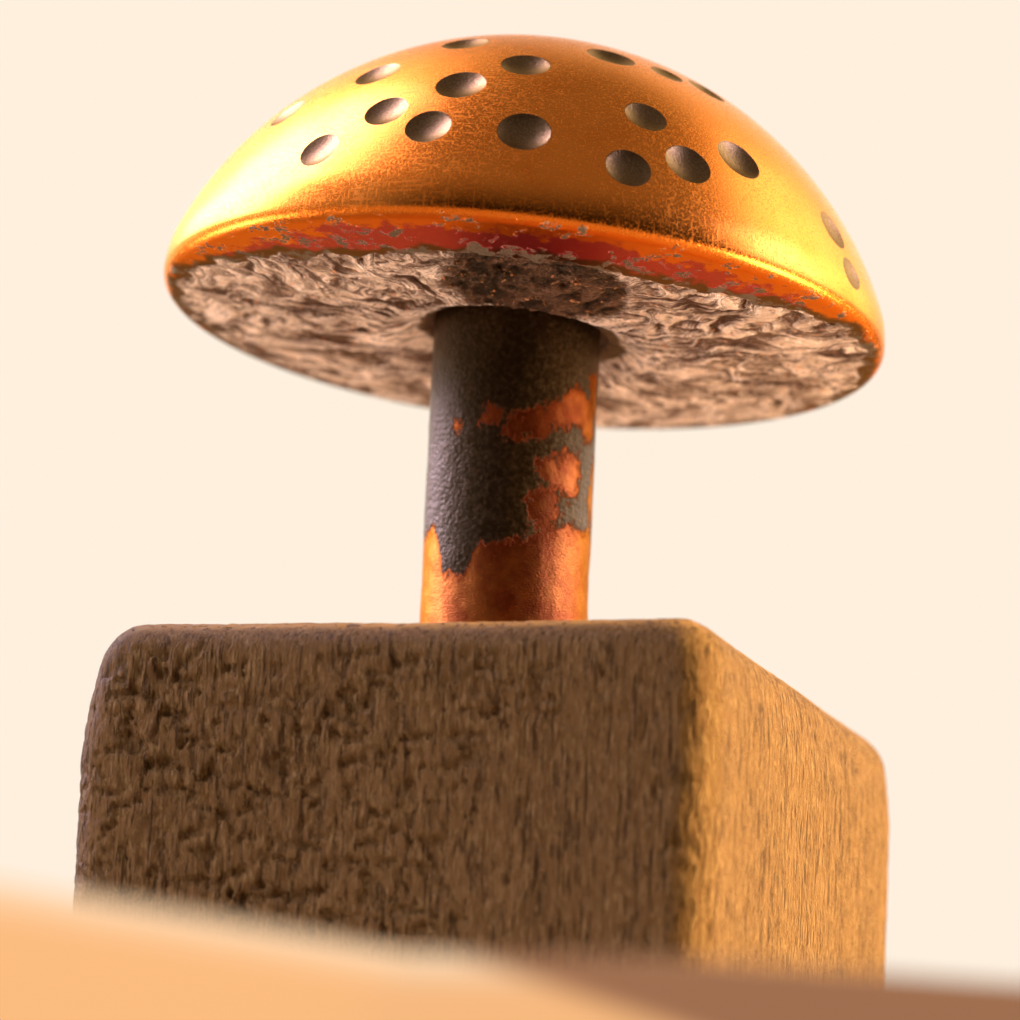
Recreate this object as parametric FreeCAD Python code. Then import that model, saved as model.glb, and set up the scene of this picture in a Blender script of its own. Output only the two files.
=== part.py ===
"""Mushroom-headed bookbinding awl, parked point-down in a hardwood rest block.

Frame: origin at the centre of the block's underside, +Z up along the awl's stem,
-Y towards the block's front face. Millimetres.

Pieces: cap, stem, blade and blade_screw are the awl; block and base_pad are the stand;
tip_cork is the loose disc that the point sticks into.
"""
import FreeCAD, Part
import math
import os

# ---- driving dimensions ----
# stand
BLOCK_SIDE = 46.4
BLOCK_TOP = 40.0
BLOCK_CORNER_RADIUS = 3.0
BLOCK_TOP_RADIUS = 2.5
BLOCK_FOOT_CHAMFER = 0.6
PAD_THICKNESS = 1.5
PAD_INSET = 1.5

# stem
STEM_RADIUS = 6.0
STEM_SEAT_DEPTH = 9.0
STEM_CAST_IN = 9.0
STEM_CHAMFER = 0.5
KEY_GROOVE_DEPTH = 1.0
KEY_GROOVE_WIDTH = 1.5
KEY_GROOVE_PITCH = 3.0
KEY_GROOVES = 2

# cap: arcs of its outline from the crown over the rim, each with its radius and the slope at
# its end (0 level outwards, 90 straight down, 180 level inwards); the cap's own origin is the
# middle of its widest circle, where the slope is 90; a shallow cone follows under the rim
CAP_ARCS = ((27.55, 68.0), (6.3, 90.0), (1.05, 171.0))
RIM_SLOPE = 90.0
CAP_BELLY_RADIUS = 14.0
CAP_HOLLOW_RADIUS = 9.7
CAP_HOLLOW_DEPTH = 0.9
CAP_GAP_RADIUS = 6.6
CAP_GAP_TOP = -0.8
CAP_ABOVE_BLOCK = 27.0
CAP_OFF_CENTRE = (0.4, 0.1)
CAP_TILT = 4.6
CAP_TILT_TOWARDS = 52.0

# dimples ground into the dome with a ball: (distance from the cap's axis, azimuth, radius)
BALL_RADIUS = 4.0
CROWN_DIMPLES = (
    (3.0, 70, 1.9),
    (8.0, -140, 2.0),
    (8.0, -55, 1.9),
    (8.0, 10, 1.9),
    (8.0, 95, 2.0),
    (8.0, 160, 1.9),
)
FRONT_DIMPLES = (
    (14.4, -96, 1.9),
    (14.5, -54, 1.95),
    (15.2, -38, 1.4),
    (15.6, -25, 1.7),
    (18.1, -76, 1.95),
    (19.0, -110, 1.9),
    (20.7, -87.5, 2.0),
    (21.4, -128.5, 1.7),
    (21.5, -51.5, 1.75),
    (22.7, -99.5, 1.8),
    (22.7, -33, 2.0),
    (23.7, -90, 1.85),
    (23.7, -73.5, 2.1),
    (23.9, -45, 1.95),
    (24.2, -10, 1.7),
    (24.6, -109, 1.75),
    (24.7, -56, 1.85),
    (25.7, -8, 1.6),
)
# the front's pattern comes again round the back, outside the front's own sector
BACK_TURNS = (148, 236)
FRONT_SECTOR = (-165, 18)
DIMPLE_LAND = 0.1

# blade and its fixing
SHANK_RADIUS = 2.0
SHANK_LENGTH = 12.0
SHANK_FLAT_DEPTH = 0.4
SHANK_FLAT_MARGIN = 0.5
BLADE_TIP_Z = 4.0
# how the blade swells from its point: (share of its length, share of the shank's radius)
BLADE_TAPER = ((0.25, 0.50), (0.60, 0.80))
SCREW_RADIUS = 1.5
SCREW_ABOVE_STEM_FOOT = 4.5
SCREW_BELOW_SURFACE = 0.3
SCREW_POINT_CHAMFER = 0.4
SCREW_SOCKET_ACROSS_FLATS = 1.5
SCREW_SOCKET_DEPTH = 1.6
SCREW_SOCKET_SIDES = 6

# bore and cork
BORE_RADIUS = 3.0
SEAT_CLEARANCE = 0.05
CORK_CLEARANCE = 0.10
CORK_THICKNESS = 4.0
CORK_CHAMFER = 0.3
TIP_HOLE_RADIUS = 0.9
TIP_HOLE_DEPTH = 2.0

# cutting shapes run this far past the skin they cut; heights this close count as the same
CUT_MARGIN = 1.0
SAME_HEIGHT = 1e-6

# ---- sizes that follow ----
STEM_FOOT = BLOCK_TOP - STEM_SEAT_DEPTH
CAP_Z = BLOCK_TOP + CAP_ABOVE_BLOCK
STEM_TOP = CAP_Z + STEM_CAST_IN
CORK_TOP = PAD_THICKNESS + CORK_THICKNESS
SCREW_Z = STEM_FOOT + SCREW_ABOVE_STEM_FOOT

UP = FreeCAD.Vector(0, 0, 1)
AXIS_X = FreeCAD.Vector(1, 0, 0)
FULL_CIRCLE = 360


def point(x, y, z):
    return FreeCAD.Vector(x, y, z)


def cylinder(radius, bottom, top):
    """Upright cylinder on the stem's axis."""
    return Part.makeCylinder(radius, top - bottom, point(0, 0, bottom), UP)


def revolve(edges):
    """Solid of revolution about Z from a closed outline in the XZ half-plane."""
    face = Part.Face(Part.Wire(edges))
    return face.revolve(point(0, 0, 0), UP, FULL_CIRCLE)


def outline(points):
    """Straight edges that join the points in turn."""
    return [Part.makeLine(a, b) for a, b in zip(points, points[1:])]


def rounded_slab(side, bottom, top, corner_radius):
    """Square slab on the Z axis with its four upright edges rounded."""
    slab = Part.makeBox(side, side, top - bottom, point(-side / 2, -side / 2, bottom))
    upright = [edge for edge in slab.Edges if edge.BoundBox.ZLength > SAME_HEIGHT]
    return slab.makeFillet(corner_radius, upright)


def edges_at(shape, z):
    """Edges that lie wholly at one height."""
    return [
        edge for edge in shape.Edges
        if abs(edge.BoundBox.ZMin - z) < SAME_HEIGHT and abs(edge.BoundBox.ZMax - z) < SAME_HEIGHT
    ]


def make_block():
    body = rounded_slab(BLOCK_SIDE, PAD_THICKNESS, BLOCK_TOP, BLOCK_CORNER_RADIUS)
    body = body.makeFillet(BLOCK_TOP_RADIUS, edges_at(body, BLOCK_TOP))
    body = body.makeChamfer(BLOCK_FOOT_CHAMFER, edges_at(body, PAD_THICKNESS))
    seat = cylinder(STEM_RADIUS + SEAT_CLEARANCE, STEM_FOOT, BLOCK_TOP)
    bore = cylinder(BORE_RADIUS, PAD_THICKNESS, STEM_FOOT)
    return body.cut(seat).cut(bore)


def make_base_pad():
    side = BLOCK_SIDE - 2 * PAD_INSET
    return rounded_slab(side, 0.0, PAD_THICKNESS, BLOCK_CORNER_RADIUS)


def make_tip_cork():
    radius = BORE_RADIUS - CORK_CLEARANCE
    disc = cylinder(radius, PAD_THICKNESS, CORK_TOP)
    rims = edges_at(disc, PAD_THICKNESS) + edges_at(disc, CORK_TOP)
    disc = disc.makeChamfer(CORK_CHAMFER, rims)
    tip_hole = Part.makeCone(0, TIP_HOLE_RADIUS, TIP_HOLE_DEPTH, point(0, 0, CORK_TOP - TIP_HOLE_DEPTH), UP)
    return disc.cut(tip_hole)


def stem_blank():
    """The rod with its end chamfers and keying grooves, before it is drilled."""
    rod = cylinder(STEM_RADIUS, STEM_FOOT, STEM_TOP)
    rod = rod.makeChamfer(STEM_CHAMFER, edges_at(rod, STEM_FOOT) + edges_at(rod, STEM_TOP))
    for number in range(KEY_GROOVES):
        groove_bottom = STEM_TOP - (number + 1) * KEY_GROOVE_PITCH
        groove_top = groove_bottom + KEY_GROOVE_WIDTH
        ring = cylinder(STEM_RADIUS + CUT_MARGIN, groove_bottom, groove_top)
        core = cylinder(STEM_RADIUS - KEY_GROOVE_DEPTH, groove_bottom, groove_top)
        rod = rod.cut(ring.cut(core))
    return rod


def make_stem():
    socket = cylinder(SHANK_RADIUS, STEM_FOOT, STEM_FOOT + SHANK_LENGTH)
    screw_hole = Part.makeCylinder(SCREW_RADIUS, STEM_RADIUS + CUT_MARGIN, point(0, 0, SCREW_Z), AXIS_X)
    return stem_blank().cut(socket).cut(screw_hole)


def make_blade():
    """Round tapered awl blade; the shank has a flat for the set screw."""
    length = STEM_FOOT - BLADE_TIP_Z
    swell = [point(share * SHANK_RADIUS, 0, BLADE_TIP_Z + up * length) for up, share in BLADE_TAPER]
    taper = Part.BSplineCurve()
    taper.interpolate([point(0, 0, BLADE_TIP_Z)] + swell + [point(SHANK_RADIUS, 0, STEM_FOOT)])
    shank_top = STEM_FOOT + SHANK_LENGTH
    shank = outline([
        point(SHANK_RADIUS, 0, STEM_FOOT),
        point(SHANK_RADIUS, 0, shank_top),
        point(0, 0, shank_top),
        point(0, 0, BLADE_TIP_Z),
    ])
    blade = revolve([taper.toShape()] + shank)
    flat_length = 2 * (SCREW_RADIUS + SHANK_FLAT_MARGIN)
    flat = Part.makeBox(
        SHANK_RADIUS, 2 * SHANK_RADIUS, flat_length,
        point(SHANK_RADIUS - SHANK_FLAT_DEPTH, -SHANK_RADIUS, SCREW_Z - flat_length / 2),
    )
    return blade.cut(flat)


def make_blade_screw():
    """Headless socket set screw, lying along +X against the shank's flat."""
    start = SHANK_RADIUS - SHANK_FLAT_DEPTH
    end = STEM_RADIUS - SCREW_BELOW_SURFACE
    screw = Part.makeCylinder(SCREW_RADIUS, end - start, point(start, 0, SCREW_Z), AXIS_X)
    point_edges = [edge for edge in screw.Edges if edge.BoundBox.XMax < start + SAME_HEIGHT]
    screw = screw.makeChamfer(SCREW_POINT_CHAMFER, point_edges)
    corner_radius = SCREW_SOCKET_ACROSS_FLATS / 2 / math.cos(math.pi / SCREW_SOCKET_SIDES)
    corners = []
    for number in range(SCREW_SOCKET_SIDES + 1):
        angle = number * 2 * math.pi / SCREW_SOCKET_SIDES
        corners.append(point(end, corner_radius * math.cos(angle), SCREW_Z + corner_radius * math.sin(angle)))
    socket = Part.Face(Part.makePolygon(corners)).extrude(point(-SCREW_SOCKET_DEPTH, 0, 0))
    return screw.cut(socket)


class OutlineArc:
    """One arc of the cap's outline; a point's slope angle gives both its place and its normal."""

    def __init__(self, radius, start, end, first_point):
        self.radius = radius
        self.start = math.radians(start)
        self.end = math.radians(end)
        self.centre = (
            first_point[0] - radius * math.sin(self.start),
            first_point[1] - radius * math.cos(self.start),
        )

    def at(self, slope):
        return (
            self.centre[0] + self.radius * math.sin(slope),
            self.centre[1] + self.radius * math.cos(slope),
        )

    def edge(self):
        """The arc as an edge in the XZ plane."""
        slopes = (self.start, (self.start + self.end) / 2, self.end)
        places = [self.at(slope) for slope in slopes]
        return Part.Arc(*(point(x, 0, z) for x, z in places)).toShape()


def outline_arcs(crown_height):
    """The outline's arcs, joined end to end, from a crown at a height."""
    arcs = []
    place, slope = (0.0, crown_height), 0.0
    for radius, end_slope in CAP_ARCS:
        arcs.append(OutlineArc(radius, slope, end_slope, place))
        place, slope = arcs[-1].at(arcs[-1].end), end_slope
    return arcs


def cap_outline():
    """The outline's arcs, set so that the widest circle is at height 0."""
    widest = [arc.at(arc.end)[1] for arc in outline_arcs(0.0) if arc.end == math.radians(RIM_SLOPE)]
    return outline_arcs(-widest[0])


def dome_place(distance):
    """Height and outward normal of the dome at a distance from the cap's axis."""
    for arc in cap_outline():
        if arc.end <= math.radians(RIM_SLOPE) and distance <= arc.at(arc.end)[0]:
            slope = math.asin((distance - arc.centre[0]) / arc.radius)
            return arc.at(slope)[1], (math.sin(slope), math.cos(slope))
    raise ValueError(f"{distance} mm is outside the cap")


def in_front(azimuth):
    """Whether an azimuth in degrees lies in the sector that only the front's own dimples fill."""
    low, high = FRONT_SECTOR
    return (azimuth - low) % 360 < high - low


def dimple_pattern():
    """All dimples to try: the crown's, the front's, then the front's turned round the back."""
    pattern = list(CROWN_DIMPLES + FRONT_DIMPLES)
    for turn in BACK_TURNS:
        for distance, azimuth, radius in FRONT_DIMPLES:
            if not in_front(azimuth + turn):
                pattern.append((distance, azimuth + turn, radius))
    return pattern


def dimple_places():
    """Place and radius of each dimple, leaving out any that would run into an earlier one."""
    places = []
    for distance, azimuth, radius in dimple_pattern():
        angle = math.radians(azimuth)
        height = dome_place(distance)[0]
        place = point(distance * math.cos(angle), distance * math.sin(angle), height)
        if all((place - other).Length > radius + size + DIMPLE_LAND for other, size in places):
            places.append((place, radius))
    return places


def dimple_balls():
    """Balls that grind the dimples, each standing off along the dome's normal."""
    balls = []
    for place, radius in dimple_places():
        distance = math.hypot(place.x, place.y)
        across, along = dome_place(distance)[1]
        outward = point(across * place.x / distance, across * place.y / distance, along)
        stand_off = math.sqrt(BALL_RADIUS ** 2 - radius ** 2)
        balls.append(Part.makeSphere(BALL_RADIUS, place + outward * stand_off))
    return balls


def place_cap(shape):
    """Tilts the cap from its own frame and sets it on the stem."""
    angle = math.radians(CAP_TILT_TOWARDS)
    hinge = point(-math.sin(angle), math.cos(angle), 0)
    placed = shape.copy()
    placed.rotate(point(0, 0, 0), hinge, CAP_TILT)
    placed.translate(point(CAP_OFF_CENTRE[0], CAP_OFF_CENTRE[1], CAP_Z))
    return placed


def make_cap():
    arcs = cap_outline()
    crown = arcs[0].at(arcs[0].start)
    rim_edge = arcs[-1].at(arcs[-1].end)
    belly_z = rim_edge[1] + (rim_edge[0] - CAP_BELLY_RADIUS) * math.tan(arcs[-1].end)
    hollow_z = belly_z + CAP_HOLLOW_DEPTH
    underside = outline([
        point(rim_edge[0], 0, rim_edge[1]),
        point(CAP_BELLY_RADIUS, 0, belly_z),
        point(CAP_HOLLOW_RADIUS, 0, belly_z),
        point(CAP_GAP_RADIUS, 0, hollow_z),
        point(0, 0, hollow_z),
        point(0, 0, crown[1]),
    ])
    cap = revolve([arc.edge() for arc in arcs] + underside)
    cap = cap.cut(Part.makeCompound(dimple_balls()))
    cap = place_cap(cap)
    gap = cylinder(CAP_GAP_RADIUS, CAP_Z + belly_z - CUT_MARGIN, CAP_Z + CAP_GAP_TOP)
    return cap.cut(gap).cut(stem_blank())


PIECES = {
    "cap": make_cap,
    "stem": make_stem,
    "blade": make_blade,
    "blade_screw": make_blade_screw,
    "block": make_block,
    "base_pad": make_base_pad,
    "tip_cork": make_tip_cork,
}


def main():
    os.makedirs("parts", exist_ok=True)
    for name, make in PIECES.items():
        solids = make().Solids
        if len(solids) != 1:
            raise ValueError(f"{name} should be one solid, not {len(solids)}")
        solids[0].exportStep(f"parts/{name}.step")


main()
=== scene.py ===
"""Looks of the mushroom-headed bookbinding awl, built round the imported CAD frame."""
import math

import bpy
import numpy as np
from mathutils import Matrix, Vector, geometry, noise


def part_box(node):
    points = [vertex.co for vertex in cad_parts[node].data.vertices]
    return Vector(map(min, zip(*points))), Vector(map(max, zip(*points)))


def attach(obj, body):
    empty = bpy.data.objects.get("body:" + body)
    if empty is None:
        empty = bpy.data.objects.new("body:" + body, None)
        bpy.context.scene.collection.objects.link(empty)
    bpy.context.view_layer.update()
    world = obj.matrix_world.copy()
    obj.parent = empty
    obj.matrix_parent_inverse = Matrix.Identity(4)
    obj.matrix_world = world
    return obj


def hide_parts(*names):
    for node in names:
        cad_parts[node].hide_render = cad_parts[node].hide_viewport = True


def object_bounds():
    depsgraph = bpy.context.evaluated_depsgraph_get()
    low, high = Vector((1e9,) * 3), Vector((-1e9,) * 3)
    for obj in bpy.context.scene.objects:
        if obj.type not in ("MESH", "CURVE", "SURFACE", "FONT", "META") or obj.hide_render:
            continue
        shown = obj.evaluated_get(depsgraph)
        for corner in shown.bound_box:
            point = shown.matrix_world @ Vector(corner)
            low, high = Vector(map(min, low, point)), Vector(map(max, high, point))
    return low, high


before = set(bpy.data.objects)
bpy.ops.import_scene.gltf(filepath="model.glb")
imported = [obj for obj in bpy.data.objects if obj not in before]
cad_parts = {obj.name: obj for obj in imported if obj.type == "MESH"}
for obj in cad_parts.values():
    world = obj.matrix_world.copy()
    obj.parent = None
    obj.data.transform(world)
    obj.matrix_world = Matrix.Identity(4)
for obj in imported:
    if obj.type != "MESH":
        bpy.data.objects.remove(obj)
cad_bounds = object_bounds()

MM = 0.001
FULL_TURN = 2 * math.pi
# vector noise starts from the clock unless it has a seed
NOISE_SEED = 1794804888

# ---- camera: low, a little to the right, looking up, slightly rolled ----
CAMERA_AZIMUTH = math.radians(18.98)
CAMERA_LOOK_UP = math.radians(12.30)
CAMERA_ROLL = math.radians(2.73)
CAMERA_DISTANCE = 535.8 * MM
CAMERA_AIM_ABOVE_BLOCK = 12.6 * MM
CAMERA_AIM_RIGHT = 0.1 * MM
CAMERA_FOCUS = (3.0 * MM, -14.0 * MM)
CAMERA_LENS = 265.0
CAMERA_SENSOR = 36.0
CAMERA_F_STOP = 30.0

# ---- cap: the CAD cap's outline, as arcs of a radius up to a slope in degrees ----
CAP_ARCS = ((27.55, 68.0), (6.3, 90.0), (1.05, 171.0))
RIM_SLOPE = 90.0
CAP_SEGMENTS = 480
BELLY_RADIUS = 14.0
HOLLOW_RADIUS = 9.7
# steps of the hollow round the stem: (clear of the stem, above the belly)
HOLLOW_STEPS = ((1.6, 0.75), (0.8, 0.85), (0.6, 1.0))
# steps into the gap round the stem: (clear of the stem, height)
GAP_STEPS = ((0.55, -0.9), (0.4, -0.8), (-0.3, -0.8))
UNDERSIDE_SPACING = 0.22
DOME_SPACING = 0.40
BALL_RADIUS = 4.0
# a dimple's rim in the CAD mesh: edges this sharp, this near the dome, in a loop this long
SHARP_EDGE = math.radians(13)
DOME_SLACK = 0.05
FEWEST_RIM_POINTS = 8
DIMPLE_SPOKES = 56
DIMPLE_RINGS = (0.965, 0.88, 0.74, 0.58, 0.42, 0.26)
DIMPLE_LIP = 1.04
# the casting skin starts this far round under the rim at the back, and this much further in front
SKIN_START = 2.0
SKIN_LATER_IN_FRONT = 5.2
RIM_FRONT = math.radians(-75)
SWIRL_RADIUS = 15.0
# a darker patch in front of the stem, and a collar of painted shade in the hollow round the stem
DARK_PATCH_PLACE = (5.5, -14.0)
DARK_PATCH_REACH = (6.5, 7.5)
SHADED_COLLAR = (6.6, 8.4)

# ---- stem, where the black scale has worn off ----
STEM_SEGMENTS = 192
STEM_RINGS = 150
STEM_INTO_CAP = 8.0
STEM_CHAMFER = 0.5
DENT_DEPTH = 0.05
SCALE_DEPTH = 0.025
DRILL_SIDES = 48
# how high the bare foot reaches round the stem: (azimuth in degrees, height above the block)
BARE_FOOT = ((-180, 10.0), (-130, 10.6), (-119, 7.2), (-101, 6.6), (-91, 9.1), (-60, 9.2), (-45, 10.4),
             (-20, 11.0), (20, 10.8), (60, 9.0), (120, 8.5), (180, 10.0))
# patches: (azimuth in degrees, height above the block, half width, half height)
WORN_PATCHES = ((-22, 19.4, 1.9, 1.5), (-38, 18.6, 1.3, 1.2), (3, 20.4, 0.9, 2.0), (-6, 18.4, 1.2, 1.3),
                (-86, 18.2, 0.9, 0.8), (-68, 17.3, 1.0, 1.1), (-52, 17.8, 1.5, 1.3), (-27, 14.3, 1.5, 1.9),
                (-42, 14.6, 1.2, 1.2), (6, 13.4, 0.9, 2.6), (-46, 11.6, 1.4, 1.6), (-112, 17.6, 0.4, 0.5),
                (70, 17.2, 2.2, 1.8), (110, 13.2, 1.4, 2.2), (160, 16.2, 1.2, 1.6))

# ---- block, pad and cork ----
CORNERS = ((-1, -1), (1, -1), (1, 1), (-1, 1))
# segments along the front, the right, the back and the left
BLOCK_SEGMENTS = (216, 132, 92, 104)
PAD_SEGMENTS = (60,) * 4
CORK_SEGMENTS = 96
BLOCK_CORNER_RADIUS = 3.0
BLOCK_TOP_RADIUS = 2.5
FOOT_BEVEL = 0.6
SEAT_GAP = 0.05
SEAT_LIP = 0.2
BORE_GAP = 0.1
# the rings on top of the block grow by this much while they turn from round to square
TOP_RING_GROWTH = 17
TEAR_DEPTH = 0.36
GRAIN_DEPTH = 0.05
SWELL_DEPTH = 0.08
CORNER_WEAR = (1.5, 0.5, 0.9, 0.7)
CORNER_REACH = (9.5, 6.0, 7.0, 6.0)
LEFT_RISE = 0.5
PAD_ROLL = 0.45
PAD_SWELL = 0.12
CORK_CRUMB = 0.10

# ---- table: its near edge from left to right, then its far corners ----
TABLE_OUTLINE = ((-900, -596), (18.8, -158.5), (38.8, -125.5), (52, -123.5), (69, -114.5), (900, 249),
                 (500, 1500), (-1300, 1000))
TABLE_THICKNESS = 30.0
TABLE_BEVEL = 1.0

# ---- light; angles in degrees ----
LEFT_TOP = (52, 76)
RIGHT_TOP = (43, 60)
# cards that the metal mirrors: strength, (azimuth, reach, core), (full below, none above) and
# (none below, full above)
WINDOW_CARDS = (
    (14.0, (169, 33, 8), LEFT_TOP, (10, 24)),
    (4.0, (20, 20, 5), (30, 44), (8, 20)),
)
SOFT_CARDS = (
    (0.50, (176, 88, 30), LEFT_TOP, None),
    (1.0, (146, 34, 14), LEFT_TOP, (16, 30)),
    (2.0, (46, 33, 10), RIGHT_TOP, (3, 12)),
    (1.4, (16, 24, 8), (26, 44), (3, 12)),
    (1.0, (66, 50, 20), RIGHT_TOP, (6, 24)),
    (0.30, (109, 80, 50), (30, 50), None),
    (0.60, (109, 114, 88), (20, 32), None),
)
# lamps: name, (azimuth, elevation), distance, size, power, tint, and whether only the cap has its light
LAMPS = (
    ("left_window", (204, 26), 0.7, (0.16, 0.16), 4.3, (1.0, 0.86, 0.70), False),
    ("low_left", (184, -18), 0.45, (0.16, 0.06), 2.0, (1.0, 0.86, 0.76), True),
    ("low_right", (12, -18), 0.45, (0.16, 0.06), 3.1, (1.0, 0.82, 0.67), True),
    ("right_window", (20, 18), 0.7, (0.35, 0.45), 26.0, (1.0, 0.69, 0.26), False),
)


# ---- small helpers; all shape work is in millimetres ----
def half_width(node, axis=0):
    """Half of a CAD node's size along an axis."""
    low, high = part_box(node)
    return (high[axis] - low[axis]) / 2 / MM


def heights(node):
    """Lowest and highest points of a CAD node."""
    low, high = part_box(node)
    return low.z / MM, high.z / MM


def smooth(low, high, value):
    """0 below low, 1 above high, smooth between."""
    share = np.clip((value - low) / (high - low), 0.0, 1.0)
    return share * share * (3 - 2 * share)


def fractal(points, scale, octaves, seed):
    """Fractal noise at each point, about -1 to 1; scale is the size of its features."""
    offset = Vector((seed * 17.31, seed * 9.77, seed * 5.13))
    return np.array([noise.fractal(Vector(p) + offset, 0.9, 2.1, octaves) for p in points / scale])


def ridged(points, scale, octaves, seed):
    """Noise with sharp crests, about 0 to 1."""
    offset = Vector((seed * 11.13, seed * 7.91, seed * 3.37))
    values = [
        noise.ridged_multi_fractal(Vector(p) + offset, 0.9, 2.1, octaves, 1.0, 2.0)
        for p in points / scale
    ]
    return np.clip(np.array(values) / 2.2, 0, 1.5)


def warp(points, scale, amount, seed):
    """Points pushed about by noise, for folds that wander."""
    offset = Vector((seed * 13.7, seed * 3.9, seed * 8.3))
    push = np.array([noise.noise_vector(Vector(p) + offset) for p in points / scale])
    return points + amount * push


def angles(count, turned=0.0):
    """Even steps round a full turn."""
    return (np.arange(count) + turned) / count * FULL_TURN


def polar(radius, around):
    """Flat points at a radius and an angle."""
    return np.stack([radius * np.cos(around), radius * np.sin(around)], -1)


def raised(flat, height):
    """A flat ring of points at a height."""
    return np.column_stack([flat, np.full(len(flat), height)])


def ring_faces(rings, segments, start=0):
    """Quads that join consecutive closed rings of vertices."""
    faces = []
    for ring in range(rings - 1):
        low = start + ring * segments
        for segment in range(segments):
            after = (segment + 1) % segments
            faces.append((low + segment, low + after, low + segments + after, low + segments + segment))
    return faces


def closed_tube(rings):
    """Vertices and faces of a tube of rings with flat ends."""
    segments = len(rings[0])
    points = np.concatenate(rings)
    ends = [tuple(reversed(range(segments))), tuple(range(len(points) - segments, len(points)))]
    return points, ring_faces(len(rings), segments) + ends


def mesh_object(name, vertices, faces, attributes=None):
    """Smooth-shaded mesh object from vertices in millimetres in the row frame."""
    mesh = bpy.data.meshes.new(name)
    mesh.from_pydata([tuple(v) for v in np.asarray(vertices) * MM], [], faces)
    for key, values in (attributes or {}).items():
        values = np.asarray(values, np.float32)
        kind, field = ("FLOAT_VECTOR", "vector") if values.ndim == 2 else ("FLOAT", "value")
        mesh.attributes.new(key, kind, "POINT").data.foreach_set(field, values.reshape(-1))
    mesh.shade_smooth()
    mesh.update()
    made = bpy.data.objects.new(name, mesh)
    bpy.context.scene.collection.objects.link(made)
    return made


# ---- the CAD cap's own frame and dimples, read back from its mesh ----
def welded_mesh(node):
    """Vertices in millimetres and triangles of a CAD node, with split vertices joined."""
    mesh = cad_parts[node].data
    mesh.calc_loop_triangles()
    points = np.empty(len(mesh.vertices) * 3, np.float32)
    mesh.vertices.foreach_get("co", points)
    corners = np.empty(len(mesh.loop_triangles) * 3, np.int32)
    mesh.loop_triangles.foreach_get("vertices", corners)
    points = points.reshape(-1, 3).astype(float) / MM
    _, first, joined = np.unique(np.round(points, 3), axis=0, return_index=True, return_inverse=True)
    return points[first], joined.reshape(-1)[corners].reshape(-1, 3)


def face_normals(points, triangles):
    """Unit normals and areas of triangles."""
    a, b, c = (points[triangles[:, k]] for k in range(3))
    cross = np.cross(b - a, c - a)
    area = np.linalg.norm(cross, axis=1)
    return cross / np.maximum(area, 1e-12)[:, None], area / 2


class CapFrame:
    """The cap's axis, centre and dome sizes, found from the flat ring under the CAD cap."""

    def __init__(self):
        points, triangles = welded_mesh("cap")
        normals, area = face_normals(points, triangles)
        looks_down = normals[:, 2] < -0.98
        keys, inverse = np.unique(np.round(normals[looks_down], 3), axis=0, return_inverse=True)
        shared = np.bincount(inverse.reshape(-1), area[looks_down])
        down = keys[shared.argmax()]
        down /= np.linalg.norm(down)
        flat = normals @ down > math.cos(math.radians(0.15))
        ring = points[np.unique(triangles[flat])]
        side = np.cross(np.cross(-down, (1.0, 0, 0)), -down)
        side /= np.linalg.norm(side)
        self.turn = np.array([side, np.cross(-down, side), -down])
        local = (ring - ring.mean(0)) @ self.turn.T
        self.origin = ring.mean(0) + (local.max(0) + local.min(0)) / 2 @ self.turn
        local = self.to_local(points)
        distance = np.hypot(local[:, 0], local[:, 1])
        # the flat ring lies this far under the widest circle, where the frame's origin goes
        self.belly_depth = local[distance > distance.max() - 0.002, 2].mean()
        self.origin = self.origin - self.belly_depth * down
        self.dimples = self.find_dimples(points, triangles, normals)

    def to_local(self, points):
        return (np.asarray(points) - self.origin) @ self.turn.T

    def to_row(self, points):
        return points @ self.turn + self.origin

    def find_dimples(self, points, triangles, normals):
        """(azimuth, distance from the axis, radius) of each loop of sharp edges on the dome."""
        local = self.to_local(points)
        distance = np.hypot(local[:, 0], local[:, 1])
        profile = DomeProfile()
        off_height = abs(local[:, 2] - np.interp(distance, profile.r, profile.z))
        off_radius = abs(distance - np.interp(local[:, 2], profile.z[::-1], profile.r[::-1]))
        on_dome = (local[:, 2] > DOME_SLACK) & (np.minimum(off_height, off_radius) < DOME_SLACK)
        owners = {}
        for face, triangle in enumerate(triangles):
            for a, b in ((0, 1), (1, 2), (2, 0)):
                owners.setdefault(tuple(sorted((triangle[a], triangle[b]))), []).append(face)
        group = {}

        def root(item):
            while group.setdefault(item, item) != item:
                item = group[item]
            return item

        for (a, b), faces in owners.items():
            if len(faces) == 2 and on_dome[a] and on_dome[b]:
                if normals[faces[0]] @ normals[faces[1]] < math.cos(SHARP_EDGE):
                    group[root(a)] = root(b)
        loops = {}
        for item in list(group):
            loops.setdefault(root(item), []).append(item)
        dimples = []
        for members in loops.values():
            if len(members) >= FEWEST_RIM_POINTS:
                rim = local[members]
                centre = (rim.max(0) + rim.min(0)) / 2
                size = np.linalg.norm(rim - centre, axis=1).mean()
                dimples.append((math.atan2(centre[1], centre[0]), math.hypot(centre[0], centre[1]), size))
        return sorted(dimples)


def arc_outline(first_slope, last_slope, steps):
    """Radii and heights of the cap's arcs between two slopes, with the widest circle at height 0."""
    slopes = np.radians(np.linspace(0, CAP_ARCS[-1][1], steps))
    radii = np.zeros_like(slopes)
    levels = np.zeros_like(slopes)
    place, start = np.zeros(2), 0.0
    for radius, end in CAP_ARCS:
        end = math.radians(end)
        centre = place - radius * np.array([math.sin(start), math.cos(start)])
        here = (slopes >= start) & (slopes <= end + 1e-9)
        radii[here] = centre[0] + radius * np.sin(slopes[here])
        levels[here] = centre[1] + radius * np.cos(slopes[here])
        place = centre + radius * np.array([math.sin(end), math.cos(end)])
        start = end
    levels -= np.interp(math.radians(RIM_SLOPE), slopes, levels)
    wanted = np.radians(np.linspace(first_slope, last_slope, steps))
    return np.interp(wanted, slopes, radii), np.interp(wanted, slopes, levels)


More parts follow.
